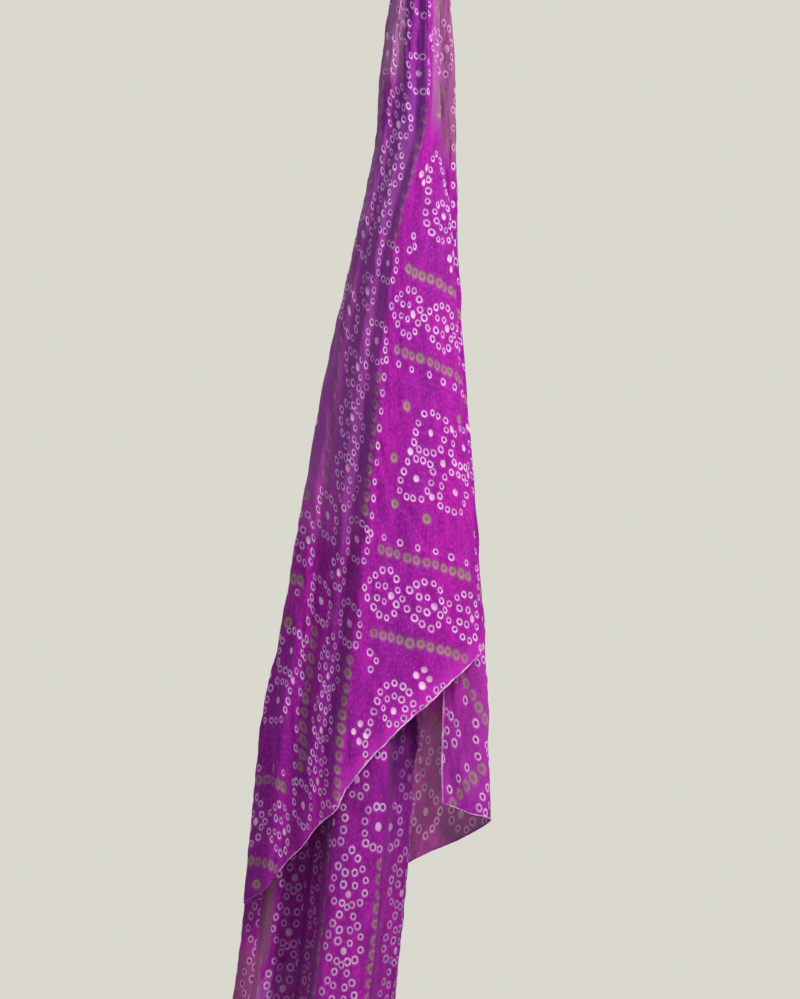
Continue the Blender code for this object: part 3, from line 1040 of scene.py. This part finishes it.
class Nodes:
    """A material's node tree, filled by short calls."""

    def __init__(self, name):
        self.material = bpy.data.materials.new(name)
        self.material.use_nodes = True
        self.tree = self.material.node_tree
        self.shader = self.tree.nodes["Principled BSDF"]

    def feed(self, socket, value):
        if isinstance(value, bpy.types.NodeSocket):
            self.tree.links.new(value, socket)
        else:
            socket.default_value = value

    def add(self, kind, inputs, **settings):
        node = self.tree.nodes.new("ShaderNode" + kind)
        for name, value in settings.items():
            setattr(node, name, value)
        for name, value in inputs.items():
            self.feed(node.inputs[name], value)
        return node

    def math(self, operation, *values):
        node = self.add("Math", dict(enumerate(values)), operation=operation)
        return node.outputs[0]

    def times(self, product, *factors):
        for factor in factors:
            product = self.math("MULTIPLY", product, factor)
        return product

    def step(self, value, low, high, out_low=0.0, out_high=1.0):
        """A soft step from out_low to out_high as value goes from low to high."""
        inputs = {"Value": value, "From Min": low, "From Max": high}
        inputs.update({"To Min": out_low, "To Max": out_high})
        node = self.add("MapRange", inputs, interpolation_type="SMOOTHSTEP")
        return node.outputs["Result"]

    def fade(self, value, edge, share=1.0):
        """A share that softly falls to nothing over an edge."""
        return self.step(value, *edge, share, 0.0)

    def mix(self, share, first, second, way="MIX"):
        """A blend of two colours, which are the sockets 6 and 7 of the Mix node."""
        node = self.add("Mix", {}, data_type="RGBA", blend_type=way)
        self.feed(node.inputs["Factor"], share)
        self.feed(node.inputs[6], first)
        self.feed(node.inputs[7], second)
        return node.outputs[2]

    def noise(self, vector, scale, detail):
        inputs = {"Vector": vector, "Scale": scale, "Detail": detail}
        return self.add("TexNoise", inputs).outputs["Fac"]

    def stretched(self, vector, scale):
        return self.add("Mapping", {"Vector": vector, "Scale": scale}).outputs[0]

    def uv(self, name):
        return self.add("UVMap", {}, uv_map=name).outputs["UV"]

    def place(self):
        """Where the point lies in its object's own space."""
        return self.add("TexCoord", {}).outputs["Object"]

    def parts(self, name):
        """The three numbers of a mesh attribute."""
        vector = self.add("Attribute", {}, attribute_name=name).outputs["Vector"]
        return self.add("SeparateXYZ", {"Vector": vector}).outputs

    def bump(self, height, distance, strength):
        inputs = {"Height": height, "Distance": distance, "Strength": strength}
        self.feed(self.shader.inputs["Normal"], self.add("Bump", inputs).outputs[0])

    def surface(self, **values):
        for name, value in values.items():
            self.feed(self.shader.inputs[name.replace("_", " ")], value)


MAGENTA = (0.50, 0.007, 0.41, 1.0)
VIOLET = (0.31, 0.007, 0.33, 1.0)
UNDYED = (0.92, 0.64, 0.89, 1.0)
HALO = (0.66, 0.05, 0.62, 1.0)
DEEP = (0.20, 0.002, 0.21, 1.0)
LIT_YARN = (0.64, 0.03, 0.55, 1.0)
CORE = (0.24, 0.010, 0.34, 1.0)
OLIVE = (0.28, 0.17, 0.15, 1.0)
OLIVE_RING = (0.50, 0.36, 0.29, 1.0)
PALE_THREAD = (0.95, 0.82, 0.94, 1.0)
DARK_THREAD = (0.10, 0.008, 0.07, 1.0)
# Painted light and shade laid over the dye: painted shade, painted light shining through the cloth,
# painted blue shade, painted pale light where the wall shows through, and a painted highlight.
PAINTED_SHADE_TINT = (0.26, 0.30, 0.30, 1.0)
PAINTED_LIGHT_THROUGH_TINT = (1.0, 0.95, 0.78, 1.0)
PAINTED_BLUE_SHADE_COLOR = (0.15, 0.055, 0.30, 1.0)
PAINTED_PALE_LIGHT_COLOR = (0.52, 0.25, 0.44, 1.0)
PAINTED_HIGHLIGHT_COLOR = (0.64, 0.03, 0.58, 1.0)
DYE_CLOUDS = (
    # stretch along the cloth, scale, detail, and the layers of dye that its noise lays on:
    # from which value of the noise, to which one, how much, which dye
    (0.5, 9.0, 4.0, ((0.35, 0.68, 1.0, MAGENTA),)),
    (0.6, 55.0, 3.0, ((0.42, 0.66, 0.42, DEEP), (0.46, 0.28, 0.30, LIT_YARN))),
    (0.2, 190.0, 3.0, ((0.35, 0.75, 0.22, CORE),)),
    (0.7, 330.0, 4.0, ((0.50, 0.66, 0.6, DEEP), (0.49, 0.32, 0.6, LIT_YARN))),
)
# Where the parts of a dot begin to fade and where they end, in the dot's own radii.
WHITE_EDGE = (0.72, 1.02)
HOLE_EDGE = (0.36, 0.70)
HALO_EDGE = (0.8, 1.5)
STAIN_EDGE = (0.35, 1.25)
PALE_RING_INSIDE = (0.22, 0.50)
PALE_RING_EDGE = (0.60, 0.80)
PUCKER_EDGE = (0.0, 1.1)
RAGGED = 0.34
HALO_SHARE = 0.4
CORE_SHARE = 0.8
STAIN_SHARE = 0.95
PALE_RING_SHARE = 0.75
# How far the dots fade in painted shade, in painted light through the cloth and in painted blue
# shade.
DIMMED_IN_PAINTED_SHADE = 0.35
DIMMED_IN_PAINTED_LIGHT_THROUGH = 0.3
DIMMED_IN_PAINTED_BLUE_SHADE = 0.35
PUCKER_BUMP = 1.3
CREPE_BUMP = 1.1
SHEEN = (1.0, 0.7, 1.0, 1.0)


def clouded_dye(n, place):
    """The cloth's dye, with its clouds, streaks and mottled yarns."""
    dye = VIOLET
    for along, scale, detail, layers in DYE_CLOUDS:
        cloud = n.noise(n.stretched(place, (1.0, along, 1.0)), scale, detail)
        for low, high, share, layer in layers:
            dye = n.mix(n.step(cloud, low, high, 0.0, share), dye, layer)
    return dye


def cloth_material():
    """Sheer georgette, dyed magenta to violet, with dots that were tied off from the dye."""
    n = Nodes("bandhani_georgette")
    place = n.uv("Cloth")
    dye = clouded_dye(n, place)
    # Painted light and shade over the dye: a painted highlight, a painted blue shade and painted
    # pale light where the wall shows through. From here on, dye holds them too.
    blue_shade_share, pale_light_share, highlight_share = n.parts("painted_light_and_shade")
    dye = n.mix(highlight_share, dye, PAINTED_HIGHLIGHT_COLOR)
    dye = n.mix(blue_shade_share, dye, PAINTED_BLUE_SHADE_COLOR)
    dye = n.mix(pale_light_share, dye, PAINTED_PALE_LIGHT_COLOR)

    # The tone holds the opacity, the painted shade and the painted light through the cloth.
    opacity, shade_share, light_through_share = n.parts("tone")
    far = n.add("VectorMath", {0: n.uv("Dots")}, operation="LENGTH").outputs["Value"]
    ragged = n.math("SUBTRACT", n.noise(place, 420.0, 2.0), 0.5)
    far = n.math("ADD", far, n.times(ragged, RAGGED))
    hollow, on_line, strength = n.parts("dot_look")
    # The dots fade in painted shade; the olive line also fades in painted light through the cloth
    # and in painted blue shade.
    strength = n.times(strength, n.step(shade_share, 0.0, 1.0, 1.0, DIMMED_IN_PAINTED_SHADE))
    tied = n.math("SUBTRACT", 1.0, on_line)

    hole = n.times(n.fade(far, HOLE_EDGE), hollow)
    white = n.times(n.math("SUBTRACT", n.fade(far, WHITE_EDGE), hole), strength, tied)
    stained = n.times(on_line, strength, n.step(light_through_share, 0.0, 1.0, 1.0, DIMMED_IN_PAINTED_LIGHT_THROUGH))
    stained = n.times(stained, n.step(blue_shade_share, 0.0, 0.4, 1.0, DIMMED_IN_PAINTED_BLUE_SHADE))
    pale = n.times(n.step(far, *PALE_RING_INSIDE), n.fade(far, PALE_RING_EDGE), stained)

    color = n.mix(n.times(n.fade(far, HALO_EDGE, HALO_SHARE), tied), dye, HALO)
    color = n.mix(n.times(hole, tied, CORE_SHARE), color, CORE)
    color = n.mix(n.math("MAXIMUM", white, 0.0), color, UNDYED)
    color = n.mix(n.times(n.fade(far, STAIN_EDGE, STAIN_SHARE), stained), color, OLIVE)
    color = n.mix(n.times(pale, PALE_RING_SHARE), color, OLIVE_RING)

    # Painted light shining through the cloth makes it rosier, and painted shade makes it deeper.
    color = n.mix(light_through_share, color, n.mix(1.0, color, PAINTED_LIGHT_THROUGH_TINT, "MULTIPLY"))
    color = n.mix(shade_share, color, n.mix(1.0, color, PAINTED_SHADE_TINT, "MULTIPLY"))
    pucker = n.times(n.fade(far, PUCKER_EDGE), PUCKER_BUMP)
    crepe = n.noise(n.stretched(place, (1.0, 0.45, 1.0)), 620.0, 3.0)
    n.bump(n.math("ADD", pucker, n.times(crepe, CREPE_BUMP)), 0.0007, 0.8)
    n.surface(Base_Color=color, Alpha=opacity, Roughness=0.82, Specular_IOR_Level=0.2)
    n.surface(Sheen_Weight=0.10, Sheen_Roughness=0.4, Sheen_Tint=SHEEN)
    return n.material


def edging_material(name, light, dyed, share):
    """Overlocked thread: a fine slanting rib, with the dye showing over a share of it."""
    n = Nodes(name)
    place = n.place()
    wave = {"Vector": place, "Scale": 260.0, "Distortion": 1.5}
    ribs = n.add("TexWave", wave, bands_direction="DIAGONAL").outputs["Fac"]
    worn = n.noise(place, 60.0, 3.0)
    stitched = n.mix(n.step(ribs, 0.1, 0.7), HALO, light)
    n.surface(Base_Color=n.mix(n.step(worn, 0.42, 0.60, 0.0, share), stitched, dyed))
    n.surface(Roughness=0.7, Sheen_Weight=0.2)
    n.bump(ribs, 0.0002, 0.6)
    return n.material


STEEL_DARK = (0.46, 0.46, 0.45, 1.0)
STEEL_LIGHT = (0.68, 0.68, 0.66, 1.0)
STEEL_SOILED = (0.36, 0.35, 0.33, 1.0)


def steel_material():
    """Brushed steel, with the brushing along X and a little soiling."""
    n = Nodes("brushed_steel")
    place = n.place()
    brushed = n.noise(n.stretched(place, (6.0, 700.0, 700.0)), 3.0, 4.0)
    soiled = n.noise(place, 40.0, 4.0)
    tone = n.mix(n.step(brushed, 0.3, 0.7), STEEL_DARK, STEEL_LIGHT)
    tone = n.mix(n.step(soiled, 0.5, 0.8, 0.0, 0.35), tone, STEEL_SOILED)
    n.surface(Base_Color=tone, Metallic=1.0, Roughness=n.step(brushed, 0.2, 0.8, 0.26, 0.44))
    n.bump(brushed, 0.00006, 0.5)
    return n.material


FLOOR_DARK = (0.60, 0.59, 0.56, 1.0)
FLOOR_LIGHT = (0.64, 0.63, 0.60, 1.0)


def floor_material():
    """A plain pale floor with slight clouds."""
    n = Nodes("pale_floor")
    tone = n.noise(n.place(), 3.0, 3.0)
    n.surface(Base_Color=n.mix(tone, FLOOR_DARK, FLOOR_LIGHT), Roughness=0.9)
    return n.material


# ---- The rail, the room and the camera ----

def round_rail():
    """The bent bar, with round bends, where the solid has facets."""
    half = BAR_SPAN / 2
    foot = -PLATE_DEPTH - GAP
    route = [(-half, foot)]
    for side in (-1, 1):
        x, y = side * (half - BEND_RADIUS), -BAR_OUT + BEND_RADIUS
        for i in range(BEND_STEPS + 1):
            turn = math.pi / 2 * i / BEND_STEPS
            turn = turn if side < 0 else math.pi / 2 - turn
            bend = (side * BEND_RADIUS * math.cos(turn), BEND_RADIUS * math.sin(turn))
            route.append((x + bend[0], y - bend[1]))
    route.append((half, foot))
    points = np.array([(x, y, 0.0) for x, y in route])
    return thread("round_rail", points, BAR_RADIUS, roundness=BAR_ROUNDNESS)


CAMERA_FROM_CLOTH = 2
CLOTH_PLANE = -0.070
CAMERA_X = 0.033
CAMERA_Z = -0.715
CAMERA_ROLL = 5.1
PHOTO_ROWS = 999
METRES_A_PIXEL = 0.0011
SENSOR = 24
FLOOR_Z = -1.37
FLOOR_REACH = 7
LIT_AT = (0.03, -0.07, -0.75)
AREA_LIGHTS = (
    # name, place, size, watts, colour
    ("key", (1.42, -1.40, 1.55), 0.6, 86.0, (1.0, 0.97, 0.94)),
    ("fill", (-1.9, -2.2, 0.1), 1.8, 6.0, (0.66, 0.70, 1.0)),
    ("behind", (-1.2, 2.1, 0.9), 1.6, 22.0, (1.0, 0.98, 0.95)),
)
OVERHEAD_STRENGTH = 1.2
OVERHEAD_SPREAD = math.radians(25.0)
ROOM_LIGHT = (0.86, 0.86, 0.92, 1.0)
ROOM_STRENGTH = 0.235
ROOM_SEEN = (0.70, 0.69, 0.62, 1.0)


def camera():
    """The photo's view: level, square to the wall and rolled a little."""
    data = bpy.data.cameras.new("camera")
    data.sensor_fit = "VERTICAL"
    data.sensor_height = SENSOR
    data.lens = SENSOR * CAMERA_FROM_CLOTH / (PHOTO_ROWS * METRES_A_PIXEL)
    made = added("camera", data)
    made.location = (CAMERA_X, CLOTH_PLANE - CAMERA_FROM_CLOTH, CAMERA_Z)
    made.rotation_euler = (math.pi / 2, math.radians(-CAMERA_ROLL), 0.0)
    bpy.context.scene.camera = made


def area_light(name, place, size, watts, color):
    """A round light that shines on the middle of the cloth."""
    data = bpy.data.lights.new(name, "AREA")
    data.shape = "DISK"
    data.size = size
    data.energy = watts
    data.color = color
    lamp = added(name, data)
    lamp.location = place
    way = np.subtract(LIT_AT, place)
    flat = math.hypot(way[0], way[1])
    lamp.rotation_euler = (math.atan2(flat, -way[2]), 0.0, math.atan2(-way[0], way[1]))


def studio():
    """A dim room for the light, which the eye sees as a plain pale one."""
    world = bpy.data.worlds.new("studio")
    world.use_nodes = True
    nodes = world.node_tree.nodes
    link = world.node_tree.links.new
    lit = nodes["Background"]
    lit.inputs["Color"].default_value = ROOM_LIGHT
    lit.inputs["Strength"].default_value = ROOM_STRENGTH
    seen = nodes.new("ShaderNodeBackground")
    seen.inputs["Color"].default_value = ROOM_SEEN
    both = nodes.new("ShaderNodeMixShader")
    link(nodes.new("ShaderNodeLightPath").outputs["Is Camera Ray"], both.inputs[0])
    link(lit.outputs[0], both.inputs[1])
    link(seen.outputs[0], both.inputs[2])
    link(both.outputs[0], nodes["World Output"].inputs[0])
    return world


def room():
    """The floor and the lights, which aren't part of the piece."""
    bpy.ops.mesh.primitive_plane_add(size=1.0)
    floor = bpy.context.object
    floor.name = "floor"
    floor.scale = (2 * FLOOR_REACH, FLOOR_REACH, 1.0)
    floor.location = (0.0, -FLOOR_REACH / 2, FLOOR_Z)
    floor.data.materials.append(floor_material())
    for light in AREA_LIGHTS:
        area_light(*light)
    overhead = bpy.data.lights.new("overhead", "SUN")
    overhead.energy = OVERHEAD_STRENGTH
    overhead.angle = OVERHEAD_SPREAD
    added("overhead", overhead)
    bpy.context.scene.world = studio()
    bpy.context.scene.view_settings.view_transform = "Standard"


# ---- Putting it together ----

def dress(piece, material, slot, *nodes):
    """Gives a new piece its material, body and the node it stands for; the slot is not used."""
    piece.data.materials.clear()
    piece.data.materials.append(material)
    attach(piece, "root")
    if nodes:
        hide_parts(*nodes)
    return piece


def rolled(name, edge, radius, material, thickness=None):
    """The rolled edge along a row of a sheet's points."""
    return dress(thread(name, edge[:, PLACE], radius, thickness), material, "edging")


def tapered(at, thin, thick, start, end):
    """How thick a roll is at each place, as a share of its radius."""
    return thin + (thick - thin) * soft(at, start, end)


def main():
    cloth = cloth_material()
    edging = edging_material("pale_thread", PALE_THREAD, MAGENTA, 0.7)
    dyed_edging = edging_material("dyed_thread", DEEP, DARK_THREAD, 1.0)
    steel = steel_material()

    gather = gathered_over_bar()
    front = front_fall()
    sheet = back_sheet()
    cut = column_at(sheet[len(sheet) // 2], BACK_WARPS[FLAP_ENDS_AT])
    flap, back = sheet[:, : cut + 1], sheet[:, cut:]

    made = sheet_mesh("gather_over_rail", gather, tones((), gather), 1)
    over_piece = dress(made, cloth, "cloth", "over_rail")
    made = sheet_mesh("front_cloth", front, painted_hem_highlight(tones(FRONT_TONES, front), front), 1)
    front_piece = dress(made, cloth, "cloth", "front_fall")
    made = sheet_mesh("flap_cloth", on_the_bias(flap), tones(FLAP_TONES, flap), -1, FLAP_RINGS)
    flap_piece = dress(made, cloth, "cloth", "side_flap")
    made = sheet_mesh("back_cloth", folded_away(back), tones(BACK_TONES, back), -1)
    back_piece = dress(made, cloth, "cloth", "back_fall")

    hem = front[-1]
    taper = tapered(hem[:, U], *FRONT_HEM_TAPER)
    corner = column_at(hem, HEM_DARK_FROM)
    pale, dark = slice(corner + 1), slice(corner, None)
    front_hem_roll = rolled("front_hem", hem[pale], FRONT_HEM_ROLL, edging, taper[pale])
    corner_roll = rolled("front_hem_corner", hem[dark], CORNER_ROLL, dyed_edging)
    hem, edge = flap[-1], flap[:, 0]
    fold = column_at(hem, BACK_WARPS["right_fold"])
    flap_hem_roll = rolled("flap_hem", hem[: fold + 1], FLAP_HEM_ROLL, edging)
    rear_hem_roll = rolled("flap_hem_rear", hem[fold:], REAR_HEM_ROLL, dyed_edging)
    taper = tapered(-edge[:, Z], *SELVAGE_TAPER)
    flap_selvage = rolled("flap_selvage", edge, SELVAGE_ROLL, edging, taper)
    back_hem_roll = rolled("back_hem", back[-1], BACK_HEM_ROLL, edging)

    dress(round_rail(), steel, "steel", "rail")
    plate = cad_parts["wall_plate"]
    plate.data.materials.clear()
    plate.data.materials.append(steel)

    camera()
    room()


main()
